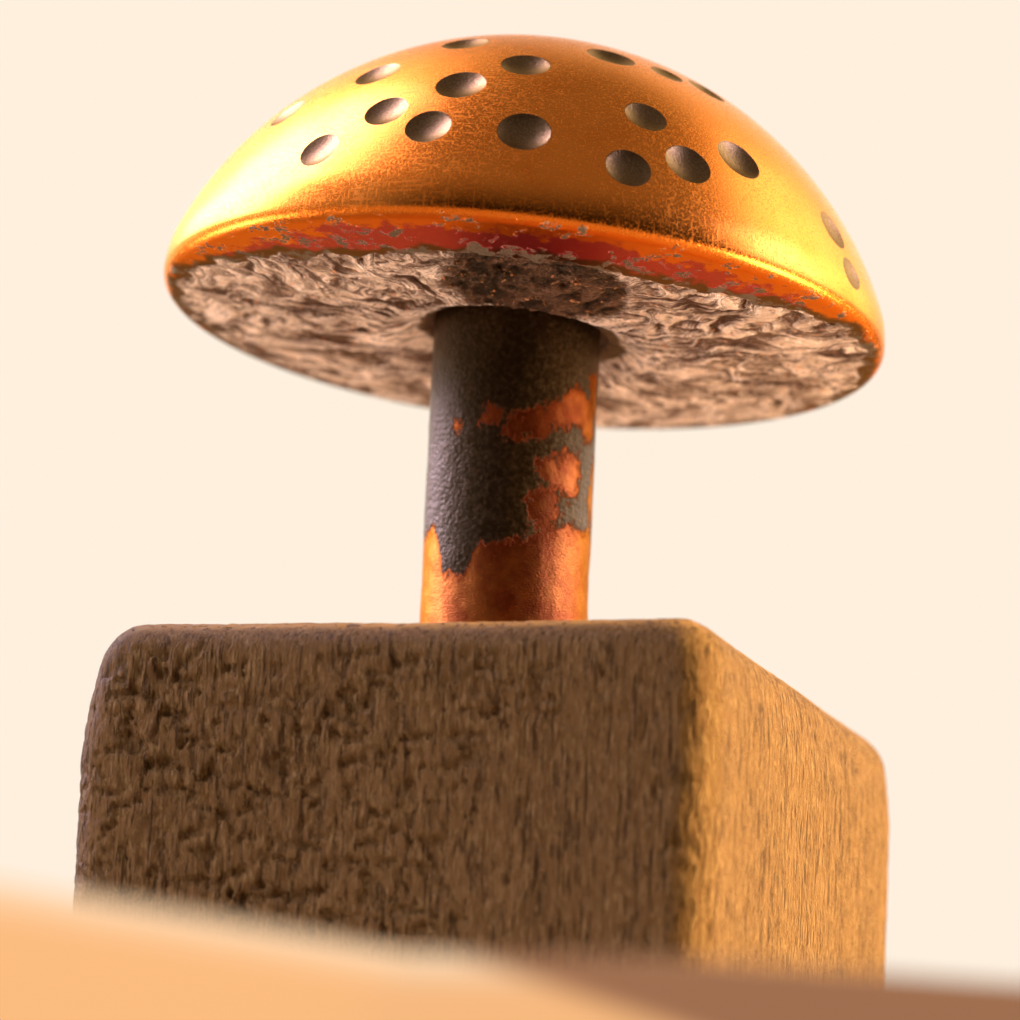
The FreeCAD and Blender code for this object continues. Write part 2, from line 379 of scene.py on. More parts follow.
class DomeProfile:
    """Points of the dome by distance along its outline from the crown."""

    def __init__(self):
        self.r, self.z = arc_outline(0, RIM_SLOPE, 6000)
        self.along = np.concatenate([[0], np.cumsum(np.hypot(np.diff(self.r), np.diff(self.z)))])
        self.length = self.along[-1]

    def radius_at(self, along):
        return np.interp(along, self.along, self.r)

    def point(self, along, azimuth):
        r = self.radius_at(along)
        z = np.interp(along, self.along, self.z)
        return np.stack([r * np.cos(azimuth), r * np.sin(azimuth), z * np.ones_like(azimuth)], -1)

    def normal(self, along, azimuth):
        ends = (along - 0.02, along + 0.02)
        r = np.interp(ends, self.along, self.r)
        z = np.interp(ends, self.along, self.z)
        outward = np.array([-(z[1] - z[0]), r[1] - r[0]])
        outward /= np.hypot(*outward)
        return np.array([outward[0] * math.cos(azimuth), outward[0] * math.sin(azimuth), outward[1]])


# ---- cap mesh ----
def dimple_points(profile, azimuth, distance, size):
    """Flat-map and space points of one dimple, from its lip to its middle, and the ball that cuts it."""
    middle = float(np.interp(distance, profile.r, profile.along))
    outward = profile.normal(middle, azimuth)
    lift = math.sqrt(BALL_RADIUS ** 2 - size ** 2)
    ball = profile.point(np.array(middle), np.array(azimuth)) + outward * lift
    spread = max(float(profile.radius_at(middle)), 0.5)

    def on_dome(reach, theta):
        along = np.maximum(middle + reach * np.cos(theta), 0.01)
        around = azimuth + reach * np.sin(theta) / spread
        return along, around, profile.point(along, around)

    def rim_reach(theta):
        low, high = np.full_like(theta, 0.4 * size), np.full_like(theta, 1.9 * size)
        for _ in range(30):
            half = (low + high) / 2
            inside = np.linalg.norm(on_dome(half, theta)[2] - ball, axis=1) < BALL_RADIUS
            low, high = np.where(inside, half, low), np.where(inside, high, half)
        return (low + high) / 2

    flat, space, depth = [], [], []
    for share in (DIMPLE_LIP, 1.0) + DIMPLE_RINGS + (0.0,):
        count = 1 if share == 0 else max(8, round(DIMPLE_SPOKES * min(share, 1.0)))
        theta = angles(count)
        along, around, place = on_dome(rim_reach(theta) * share, theta)
        if share <= 1:
            from_ball = place - ball
            height = from_ball @ outward
            across = np.linalg.norm(from_ball - height[:, None] * outward, axis=1)
            sink = height + np.sqrt(np.maximum(BALL_RADIUS ** 2 - across ** 2, 0))
            place = place - np.maximum(sink, 0)[:, None] * outward
        flat.append(polar(along, around))
        space.append(place)
        depth.append(np.full(count, 0.0 if share > 1 else 1.0))
    return np.concatenate(flat), np.concatenate(space), np.concatenate(depth), ball


def dome_mesh(cap, profile):
    """Vertices, triangles and dimple mask of the dome; its last vertices are the widest circle."""
    flats, spaces, masks, balls = [], [], [], []

    def add(flat, space, mask):
        flats.append(flat)
        spaces.append(space)
        masks.append(mask)

    for azimuth, distance, size in cap.dimples:
        flat, space, mask, ball = dimple_points(profile, azimuth, distance, size)
        add(flat, space, mask)
        balls.append((ball, size))
    rows = int(profile.length / (DOME_SPACING * 0.87))
    for row in range(rows):
        along = (row + 0.35) / rows * profile.length
        count = max(5, round(FULL_TURN * float(profile.radius_at(along)) / DOME_SPACING))
        around = angles(count, 0.618 * row)
        place = profile.point(np.full(count, along), around)
        free = np.ones(count, bool)
        for ball, size in balls:
            reach = np.linalg.norm(place - ball, axis=1)
            free &= reach > BALL_RADIUS + 0.6 * DOME_SPACING * size / BALL_RADIUS
        add(polar(along, around)[free], place[free], np.zeros(free.sum()))
    around = angles(CAP_SEGMENTS)
    rim = profile.point(np.full(CAP_SEGMENTS, profile.length), around)
    add(polar(profile.length, around), rim, np.zeros(CAP_SEGMENTS))
    flat = np.concatenate(flats)
    triangles = geometry.delaunay_2d_cdt([Vector(p) for p in flat], [], [], 0, 1e-7)[2]
    return np.concatenate(spaces), [tuple(t) for t in triangles], np.concatenate(masks)


def underside_outline(cap):
    """(radius, height) steps from the widest circle under the rim to the gap round the stem."""
    stem = half_width("stem")
    belly = -cap.belly_depth
    rim = np.stack(arc_outline(RIM_SLOPE, CAP_ARCS[-1][1], 300), 1)
    inner = [(BELLY_RADIUS, belly), (HOLLOW_RADIUS, belly)]
    inner += [(stem + clear, belly + above) for clear, above in HOLLOW_STEPS]
    inner += [(stem + clear, height) for clear, height in GAP_STEPS]
    outline = np.concatenate([rim, inner])
    along = np.concatenate([[0], np.cumsum(np.linalg.norm(np.diff(outline, axis=0), axis=1))])
    wanted = np.linspace(0, along[-1], int(along[-1] / UNDERSIDE_SPACING) + 1)[1:]
    return np.stack([np.interp(wanted, along, outline[:, k]) for k in (0, 1)], 1), wanted


def skin_flow(points):
    """Seamless coordinates that run round and outwards, for streaks drawn out from the stem."""
    flat = points * (1, 1, 0.3)
    swirl = np.arctan2(points[:, 1], points[:, 0])
    swirl = swirl + 0.26 * fractal(flat, 7.0, 3, seed=5) + 0.06 * fractal(flat, 2.2, 3, seed=6)
    distance = np.hypot(points[:, 0], points[:, 1])
    return np.column_stack([polar(SWIRL_RADIUS, swirl), distance])


def dark_patch_and_shade_share(points):
    """1 in the darker patch in front of the stem and in the collar of painted shade in the hollow round it, 0
    elsewhere.
    """
    away = (points[:, :2] - DARK_PATCH_PLACE) / DARK_PATCH_REACH
    patch = 1 - smooth(0.6, 1.4, np.hypot(away[:, 0], away[:, 1]))
    collar = 1 - smooth(*SHADED_COLLAR, np.hypot(points[:, 0], points[:, 1]))
    return np.maximum(patch, collar)


def cast_relief(points, along):
    """Height of the wrinkled casting skin under the cap, in mm, and the distance in from its edge."""
    flat = points * (1, 1, 0.3)
    flow = skin_flow(points)
    distance = flow[:, 2]
    streaks = ridged(flow * (1, 1, 0.17), 1.5, 4, seed=2)
    fine = ridged(flow * (1, 1, 0.24), 0.75, 3, seed=9)
    folds = ridged(warp(flat, 3.0, 1.6, seed=3), 1.9, 5, seed=1)
    share = smooth(0.05, 0.5, fractal(flat, 7.0, 2, seed=8) + 0.4 * dark_patch_and_shade_share(points))
    swell = fractal(flat, 5.0, 2, seed=12)
    height = 0.62 * (share * folds + (1 - share) * streaks) + 0.20 * fine + 0.13 * swell - 0.45
    azimuth = np.arctan2(points[:, 1], points[:, 0])
    front = smooth(0.2, 0.95, np.cos(azimuth - RIM_FRONT))
    inside = along - SKIN_START - SKIN_LATER_IN_FRONT * front - 0.9 * fractal(points, 2.0, 4, seed=21)
    near_stem = 0.12 + 0.88 * smooth(6.5, 9.0, distance)
    return height * smooth(-0.25, 0.5, inside) * near_stem, inside


def build_cap():
    """Dimpled dome and wrinkled underside in the cap's tilted frame, its hollow kept round the stem."""
    cap = CapFrame()
    dome, triangles, mask = dome_mesh(cap, DomeProfile())
    outline, along = underside_outline(cap)
    foot, head = cap.to_local([[0, 0, 0], [0, 0, 100.0]])
    slant = (head - foot) / (head - foot)[2]
    around = angles(CAP_SEGMENTS)
    rings = []
    for radius, height in outline:
        share = 1 - smooth(8.0, BELLY_RADIUS, radius)
        on_stem = foot + slant * (height - foot[2])
        rings.append(raised(polar(radius, around) + share * on_stem[:2], height))
    under = np.concatenate(rings)
    below = np.repeat(along, CAP_SEGMENTS)
    relief, inside = cast_relief(under, below)
    under[:, 2] -= relief
    vertices = np.concatenate([dome, under])
    skin_faces = ring_faces(len(rings) + 1, CAP_SEGMENTS, len(dome) - CAP_SEGMENTS)
    faces = triangles + [tuple(reversed(face)) for face in skin_faces]
    on_dome = np.zeros(len(dome))
    return mesh_object("mushroom_cap", cap.to_row(vertices), faces, {
        "dimple": np.concatenate([mask, np.zeros(len(under))]),
        "below_rim": np.concatenate([on_dome, below]),
        "skin": np.concatenate([on_dome - 9.0, inside]),
        "relief": np.concatenate([on_dome, relief]),
        "dark_patch_and_shade": dark_patch_and_shade_share(vertices),
        "flow": skin_flow(vertices),
    })


# ---- block mesh: one loft of rounded-square rings, from the bore over the top and down ----
def square_ring(half, corner, counts):
    """Closed ring round a rounded square; counts are the segments per side, from the front's left end."""
    ends = zip(CORNERS, CORNERS[1:] + CORNERS[:1], counts)
    sharp = half * np.concatenate([np.linspace(a, b, count, endpoint=False) for a, b, count in ends])
    inner = np.clip(sharp, -(half - corner), half - corner)
    away = sharp - inner
    return inner + corner * away / np.maximum(np.linalg.norm(away, axis=1), 1e-9)[:, None]


def round_ring(radius, directions):
    return radius * directions / np.linalg.norm(directions, axis=1)[:, None]


def build_block():
    half = half_width("block")
    bottom, top = heights("block")
    seat = half_width("stem") + SEAT_GAP
    seat_floor = heights("stem")[0]
    outer = square_ring(half, BLOCK_CORNER_RADIUS, BLOCK_SEGMENTS)
    bore = round_ring(half_width("tip_cork") + BORE_GAP, outer)
    rings, worn = [], []

    def add(flat, z, wears=True):
        rings.append(raised(flat, z))
        worn.append(np.full(len(flat), wears))

    for z in np.linspace(bottom, seat_floor, 3):
        add(bore, z, False)
    add(round_ring(seat, outer), seat_floor, False)
    for z in np.linspace(seat_floor + 0.5, top - 0.3, 3):
        add(round_ring(seat, outer), z, False)
    add(round_ring(seat + 0.05, outer), top - 0.08, False)
    add(round_ring(seat + SEAT_LIP, outer), top)
    inset = square_ring(half - BLOCK_TOP_RADIUS, BLOCK_CORNER_RADIUS - BLOCK_TOP_RADIUS, BLOCK_SEGMENTS)
    for share in np.linspace(0, 1, 27)[1:]:
        circle = round_ring(seat + SEAT_LIP + TOP_RING_GROWTH * share, outer)
        square = seat / half * outer * (1 - share) + inset * share
        blend = smooth(0.0, 1.0, share)
        add(circle * (1 - blend) + square * blend, top)
    for angle in np.linspace(0, math.pi / 2, 12)[1:]:
        add(inset + (outer - inset) * math.sin(angle), top - BLOCK_TOP_RADIUS * (1 - math.cos(angle)))
    for z in np.linspace(top - BLOCK_TOP_RADIUS, bottom + FOOT_BEVEL, 124)[1:]:
        add(outer, z)
    for share in (0.35, 0.7, 1.0):
        add(outer * (1 - FOOT_BEVEL * share / half), bottom + FOOT_BEVEL * (1 - share), False)
    for share in (0.8, 0.5, 0.25):
        add(bore * (1 - share) + outer * share * 0.985, bottom, False)
    add(bore, bottom, False)
    points, torn = wear_block(np.concatenate(rings), np.concatenate(worn), half, top, bottom)
    return mesh_object("rest_block", points, ring_faces(len(rings), len(outer)), {"torn": torn})


def wear_block(points, worn, half, top, bottom):
    """Carves saw tears, grain and worn corners into the block's outer skin."""
    x, y, z = points.T
    skin = worn * smooth(8.0, 11.0, np.hypot(x, y))
    inner = np.clip(points, (-half + 4, -half + 4, bottom - 50), (half - 4, half - 4, top - 4))
    outward = points - inner
    outward /= np.maximum(np.linalg.norm(outward, axis=1), 1e-9)[:, None]
    sides = 1 - smooth(0.3, 0.9, outward[:, 2])
    front = smooth(0.5, 0.95, -outward[:, 1])
    # the saw tore most high up on the left, but less near the worn top edge
    sawn = 0.95 - 1.05 * smooth(-20, 24, x) - 0.25 * smooth(14, 26, top - z) - 0.6 * smooth(3.5, 1.5, top - z)
    rough = smooth(-0.1, 1.1, 0.9 * fractal(points * (0.7, 1, 0.7), 5.0, 3, seed=35) + sawn)
    torn_zone = (0.12 + 0.88 * rough) * (0.25 + 0.75 * front) * sides
    moved = warp(points, 1.8, 0.7, seed=37)
    ledges = smooth(0.05, 0.40, fractal(moved * (0.33, 0.33, 1.0), 0.75, 3, seed=38))
    pits = smooth(0.10, 0.50, fractal(moved * (1.0, 1.0, 0.35), 0.48, 3, seed=39))
    torn = np.clip(0.75 * ledges + 0.40 * pits - 0.10, 0, 1) * torn_zone
    fibre = fractal(points * (1, 1, 0.40), 0.50, 4, seed=31)
    swell = fractal(points, 14.0, 2, seed=33)
    depth = (GRAIN_DEPTH * fibre * (1 + torn_zone) - TEAR_DEPTH * torn) * sides + SWELL_DEPTH * swell
    depth += (1 - sides) * GRAIN_DEPTH * fractal(points, 0.7, 3, seed=41)
    shift = (depth * skin)[:, None] * outward
    for (across, deep), wear, reach in zip(CORNERS, CORNER_WEAR, CORNER_REACH):
        near = smooth(-2.0, 1.0, (x * across + y * deep) / half - 0.9) * smooth(0, 1, (x * across) / half)
        high = np.clip((z - (top - reach)) / reach, 0, 1) ** 1.5
        shift -= (wear * near * high * skin)[:, None] * np.array([across, 0.45 * deep, 0.0])
    shift[:, 2] += LEFT_RISE * np.clip(-x / half, 0, 1) * smooth(top - 8, top, z) * skin
    return points + shift, torn * skin


# ---- stem mesh ----
def build_stem():
    """Rod with a dented skin above the block, bored for the blade's shank and its screw."""
    radius = half_width("stem")
    bottom = heights("stem")[0]
    top = heights("cap")[0] + STEM_INTO_CAP
    seat_top = heights("block")[1]
    around = angles(STEM_SEGMENTS)
    rings = [raised(polar(radius - STEM_CHAMFER, around), bottom)]
    for z in np.linspace(bottom + STEM_CHAMFER, top, STEM_RINGS):
        rings.append(raised(polar(radius, around), z))
    points, faces = closed_tube(rings)
    free = smooth(seat_top, seat_top + 1.0, points[:, 2])
    dents = fractal(points, 4.0, 3, seed=51)
    scale = fractal(points * (1, 1, 0.7), 1.1, 4, seed=52)
    sink = (DENT_DEPTH * (dents - 0.4) + SCALE_DEPTH * (scale - 0.5)) * free
    points[:, :2] *= (1 + sink / radius)[:, None]
    stem = mesh_object("copper_stem", points, faces, {"worn": worn_share(points, radius, seat_top)})
    screw_height = sum(heights("blade_screw")) / 2
    drill(stem, half_width("blade_screw", 2), (radius, 0, screw_height), "X", radius)
    drill(stem, half_width("blade"), (0, 0, bottom), "Z", 2 * (heights("blade")[1] - bottom))
    stem.data.set_sharp_from_angle(angle=math.radians(35))
    return stem


def worn_share(points, radius, seat_top):
    """How far inside bare copper each point of the stem is, in millimetres."""
    azimuth = np.degrees(np.arctan2(points[:, 1], points[:, 0]))
    height = points[:, 2] - seat_top
    worn = np.interp(azimuth, *np.transpose(BARE_FOOT)) - height
    for centre, middle, wide, tall in WORN_PATCHES:
        across = (azimuth - centre + 180) % 360 - 180
        away = np.hypot(np.radians(across) * radius / wide, (height - middle) / tall)
        worn = np.maximum(worn, (1 - away) * min(wide, tall))
    return np.clip(worn, -1.5, 1.5)


def drill(piece, radius, centre, axis, length):
    """Cuts a round hole, with its middle at centre, out of a piece; millimetres."""
    circle = polar(radius, angles(DRILL_SIDES))
    points, faces = closed_tube([raised(circle, -length / 2), raised(circle, length / 2)])
    if axis == "X":
        points = points[:, [2, 0, 1]]
    cutter = mesh_object("drill", points + centre, faces)
    hole = piece.modifiers.new("hole", "BOOLEAN")
    hole.object = cutter
    hole.solver = "EXACT"
    bpy.context.view_layer.update()
    evaluated = piece.evaluated_get(bpy.context.evaluated_depsgraph_get())
    cut = bpy.data.meshes.new_from_object(evaluated)
    piece.modifiers.clear()
    piece.data = cut
    bpy.data.objects.remove(cutter)


# ---- pad and cork meshes ----
def build_pad():
    """Leather pad with rolled edges that swells a little between its corners."""
    half, top = half_width("base_pad"), heights("base_pad")[1]
    outer = square_ring(half, BLOCK_CORNER_RADIUS, PAD_SEGMENTS)
    inward = (0.85, 0.6, 0.3, 0.02)
    rings = [raised(outer * share, 0.0) for share in reversed(inward)]
    for angle in np.linspace(0, math.pi, 13):
        reach = 1 - PAD_ROLL * (1 - math.sin(angle)) / half
        rings.append(raised(outer * reach, top / 2 * (1 - math.cos(angle))))
    rings += [raised(outer * share, top) for share in inward]
    points, faces = closed_tube(rings)
    edge = smooth(0.9 * half, half, np.abs(points[:, :2]).max(1)) * smooth(0, 0.3, points[:, 2])
    edge = edge * smooth(0, 0.3, top - points[:, 2])
    push = PAD_SWELL * fractal(points * (1, 1, 3), 1.6, 4, seed=61) * edge
    points[:, :2] *= (1 + push / half)[:, None]
    return mesh_object("leather_pad", points, faces)


def build_cork():
    """Cork disc with a crumbly rim and the hole that the point has made."""
    radius = half_width("tip_cork")
    bottom, top = heights("tip_cork")
    outline = [(0.05, bottom), (radius * 0.5, bottom), (radius - 0.3, bottom), (radius, bottom + 0.3)]
    outline += [(radius, z) for z in np.linspace(bottom + 0.5, top - 0.5, 16)]
    outline += [(radius, top - 0.3), (radius - 0.3, top), (radius * 0.8, top), (radius * 0.6, top)]
    outline += [(0.95, top), (0.75, top - 0.3), (0.4, top - 1.2), (0.05, top - 2.0)]
    points, faces = closed_tube([raised(polar(r, angles(CORK_SEGMENTS)), z) for r, z in outline])
    crumb = CORK_CRUMB * np.minimum(fractal(points, 0.7, 4, seed=71), 0)
    away = np.hypot(points[:, 0], points[:, 1])
    points[:, :2] *= (1 + crumb * smooth(0.6, 1.0, away / radius) / radius)[:, None]
    return mesh_object("cork_disc", points, faces)


# ---- materials ----
class Graph:
    """Builds the nodes of a new material or a world; each method returns its new node's output."""

    def __init__(self, name, owner=None):
        self.owner = owner or bpy.data.materials.new(name)
        self.owner.use_nodes = True
        self.tree = self.owner.node_tree
        self.tree.nodes.clear()

    def node(self, kind, inputs=None, output=0, **settings):
        """Inputs take another node's output, a number, a vector or a colour of three numbers."""
        made = self.tree.nodes.new("ShaderNode" + kind)
        for key, value in settings.items():
            setattr(made, key, value)
        for key, value in (inputs or {}).items():
            socket = made.inputs[key]
            if isinstance(value, bpy.types.NodeSocket):
                self.tree.links.new(value, socket)
            elif value is not None:
                socket.default_value = (*value, 1.0) if socket.type == "RGBA" else value
        return made.outputs[output] if made.outputs else None

    def place(self, stretch=(1, 1, 1), turn=(0, 0, 0)):
        """Row-frame position in millimetres, stretched."""
        point = self.node("TexCoord", output="Object")
        scale = [s / MM for s in stretch]
        return self.node("Mapping", {"Vector": point, "Scale": scale, "Rotation": turn})

    def attribute(self, name):
        return self.node("Attribute", output="Fac", attribute_name=name)

    def along(self, name, stretch):
        """A vector attribute, stretched."""
        vector = self.node("Attribute", output="Vector", attribute_name=name)
        return self.node("Mapping", {"Vector": vector, "Scale": stretch})

    def height_of(self, vector):
        return self.node("SeparateXYZ", {"Vector": vector}, output="Z")

    def facing_up(self):
        """1 where the surface faces up, 0 where it is upright."""
        return self.height_of(self.node("NewGeometry", output="Normal"))

    def is_ray(self, kind):
        return self.node("LightPath", output=f"Is {kind} Ray")

    def noise(self, vector, scale, detail=3.0, roughness=0.55, distortion=0.0):
        return self.node("TexNoise", {
            "Vector": vector, "Scale": scale, "Detail": detail,
            "Roughness": roughness, "Distortion": distortion})

    def cells(self, vector, scale):
        return self.node("TexVoronoi", {"Vector": vector, "Scale": scale})

    def step(self, value, low, high, start=0.0, end=1.0):
        return self.node("MapRange", {
            "Value": value, "From Min": low, "From Max": high, "To Min": start, "To Max": end},
            interpolation_type="SMOOTHSTEP")

    def plus(self, a, b, weight=1.0):
        """a + b * weight."""
        return self.node("Math", {0: b, 1: weight, 2: a}, operation="MULTIPLY_ADD")

    def times(self, a, b):
        return self.node("Math", {0: a, 1: b}, operation="MULTIPLY")

    def larger(self, a, b):
        return self.node("Math", {0: a, 1: b}, operation="MAXIMUM")

    def mix(self, factor, a, b):
        """Colours mixed by factor."""
        return self.node("Mix", {0: factor, 6: a, 7: b}, output=2, data_type="RGBA")

    def blend(self, factor, a, b):
        """Numbers mixed by factor."""
        return self.node("Mix", {0: factor, 2: a, 3: b}, data_type="FLOAT")

    def bump(self, height, depth, normal=None):
        """Bump whose height runs over depth millimetres."""
        return self.node("Bump", {
            "Height": height, "Distance": depth * MM, "Strength": 1.0, "Normal": normal})

    def finish(self, base, metallic, roughness, normal=None, **extra):
        """The finished material; extra names more of its inputs, with _ for a space."""
        inputs = {"Base Color": base, "Metallic": metallic, "Roughness": roughness, "Normal": normal}
        inputs.update({key.replace("_", " "): value for key, value in extra.items()})
        surface = self.node("BsdfPrincipled", inputs)
        self.node("OutputMaterial", {"Surface": surface})
        return self.owner


def copper_cap_material():
    g = Graph("cast_copper")
    here = g.place()
    # polished dome: satin grain with fine scratches in several directions
    grain = g.noise(here, 8.0, 3.0, 0.7)
    mottle = g.noise(here, 1.4, 4.0, 0.7)
    marks = 0.0
    for stretch, turn in (
        ((1, 1, 0.05), (0.5, 0.3, 0.2)), ((0.05, 1, 1), (0.1, 0.7, 0.5)), ((1, 0.05, 1), (0.4, 0.1, 0.9)),
    ):
        marks = g.larger(marks, g.step(g.noise(g.place(stretch, turn), 6.0, 1.0), 0.58, 0.70))
    dome_normal = g.bump(g.plus(g.plus(grain, marks, -0.5), mottle, 0.5), 0.008)
    tarnish = g.step(g.noise(here, 0.22, 4.0, 0.6), 0.42, 0.68, 0.0, 0.6)
    freckle = g.step(g.noise(here, 3.2, 3.0, 0.7), 0.60, 0.72, 0.0, 0.4)
    copper, copper_pale, copper_red = (0.88, 0.21, 0.020), (0.97, 0.27, 0.035), (0.70, 0.10, 0.05)
    dome_base = g.mix(freckle, g.mix(tarnish, copper_pale, copper), copper_red)
    dome_rough = g.blend(g.step(grain, 0.3, 0.7), 0.20, 0.29)
    dome_rough = g.blend(marks, dome_rough, 0.42)
    # dimples: dull brown oxide
    dimple = g.step(g.attribute("dimple"), 0.35, 0.65)
    sand = g.noise(here, 7.0, 3.0, 0.65)
    oxide_dark, oxide = (0.15, 0.082, 0.045), (0.26, 0.156, 0.088)
    base = g.mix(dimple, dome_base, g.mix(g.step(sand, 0.35, 0.7), oxide_dark, oxide))
    rough = g.blend(dimple, dome_rough, 0.33)
    # rolled rim: orange, then magenta heat colours, then a dark strip and grey scabs next to the skin
    orange, magenta, dark_strip = (1.0, 0.24, 0.030), (0.62, 0.075, 0.10), (0.16, 0.075, 0.050)
    scab_dark, scab_grey = (0.14, 0.10, 0.075), (0.30, 0.24, 0.19)
    below = g.attribute("below_rim")
    skin_edge = g.attribute("skin")
    ragged = g.noise(here, 1.5, 5.0, 0.70)
    blot = g.noise(here, 0.42, 5.0, 0.70)
    band = g.step(g.plus(below, ragged, 1.2), 1.30, 1.70)
    reach = g.plus(g.times(below, 0.16), blot, 1.6)
    heat = g.step(g.plus(reach, ragged, 0.5), 1.42, 1.60)
    close = g.step(g.plus(skin_edge, blot, 3.0), -0.2, 0.7)
    band_base = g.mix(close, g.mix(heat, orange, magenta), dark_strip)
    scab = g.plus(g.noise(g.place((1, 1, 1.6)), 0.55, 6.0, 0.72), g.step(skin_edge, -3.5, 0.0), 0.07)
    fleck = g.step(scab, 0.575, 0.600)
    band_base = g.mix(fleck, band_base, g.mix(ragged, scab_dark, scab_grey))
    base = g.mix(band, base, band_base)
    rough = g.blend(band, rough, g.blend(fleck, 0.34, 0.55))
    # casting skin, streaked along its flow; painted light on its crests and painted shade in its creases
    skin_crease_shade, skin_crest_light = (0.11, 0.052, 0.040), (1.0, 0.78, 0.67)
    dark_patch_crease_shade, dark_patch_crest_light = (0.014, 0.006, 0.004), (0.14, 0.062, 0.038)
    skin = g.step(g.plus(skin_edge, ragged, 0.6), 0.20, 0.45)
    threads = g.noise(g.along("flow", (1.0, 1.0, 0.11)), 2.5, 5.0, 0.66, 0.4)
    crumbs = g.noise(here, 2.8, 5.0, 0.70, 0.4)
    dark_patch_and_shade = g.attribute("dark_patch_and_shade")
    texture = g.blend(g.step(dark_patch_and_shade, 0.2, 0.8, 0.25, 0.75), threads, crumbs)
    # painted light lightens the crests of the relief and painted shade darkens its creases
    painted_relief_light = g.step(g.plus(g.attribute("relief"), texture, 1.5), 0.54, 0.98)
    # darker in the patch in front of the stem, and painted shade in the collar round the stem
    dark = g.step(g.plus(dark_patch_and_shade, blot, 1.6), 1.05, 1.45)
    skin_base = g.mix(dark, g.mix(painted_relief_light, skin_crease_shade, skin_crest_light), g.mix(painted_relief_light, dark_patch_crease_shade, dark_patch_crest_light))
    glint = g.step(g.noise(here, 1.6, 3.0, 0.7), 0.62, 0.68, 0.0, 0.5)
    skin_base = g.mix(glint, skin_base, (0.95, 0.36, 0.12))
    base = g.mix(skin, base, skin_base)
    rough = g.blend(skin, rough, 0.45)
    lumps = g.larger(skin, g.times(g.times(fleck, band), 0.25))
    normal = g.bump(g.times(texture, lumps), 0.9, dome_normal)
    metallic = g.blend(skin, 1.0, 0.70)
    coat = g.step(g.larger(skin, g.larger(dimple, band)), 0.0, 1.0, 0.12, 0.0)
    return g.finish(base, metallic, rough, normal, Coat_Weight=coat, Coat_Roughness=0.22,
                    Specular_Tint=(1.0, 0.78, 0.50))


def stem_material():
    g = Graph("copper_rod")
    here = g.place()
    # bare copper where the black scale has worn off, with ragged edges and islands
    ragged = g.noise(g.place((1, 1, 0.8)), 0.75, 7.0, 0.75, 0.5)
    speck = g.noise(g.place((1, 1, 0.7)), 3.0, 4.0, 0.70)
    worn = g.plus(g.attribute("worn"), g.plus(ragged, -0.5), 3.4)
    worn = g.plus(worn, g.plus(speck, -0.5), 2.0)
    copper = g.step(worn, -0.10, 0.25)
    bright = g.step(worn, 0.10, 1.10)
    pebble = g.noise(here, 2.8, 4.0, 0.65)
    scale_base = g.mix(g.step(pebble, 0.4, 0.7), (0.020, 0.013, 0.009), (0.065, 0.045, 0.034))
    rub = g.noise(here, 0.6, 4.0, 0.6)
    spark = g.noise(g.place((1, 1, 2.0)), 5.0, 2.0, 0.6)
    copper_base = g.mix(g.step(rub, 0.35, 0.7), (0.52, 0.160, 0.045), (0.34, 0.080, 0.030))
    copper_base = g.mix(bright, (0.30, 0.065, 0.022), copper_base)
    base = g.mix(copper, scale_base, copper_base)
    rough = g.blend(copper, g.step(pebble, 0.3, 0.7, 0.32, 0.44), g.step(spark, 0.3, 0.7, 0.28, 0.42))
    bumps = g.blend(copper, g.plus(pebble, g.cells(here, 3.2), 0.6), g.times(spark, 0.9))
    normal = g.bump(g.plus(bumps, copper, -0.8), 0.06)
    metallic = g.blend(copper, 0.30, 1.0)
    tint = g.mix(copper, (1.0, 0.62, 0.22), (1.0, 0.70, 0.38))
    return g.finish(base, metallic, rough, normal, Specular_Tint=tint)


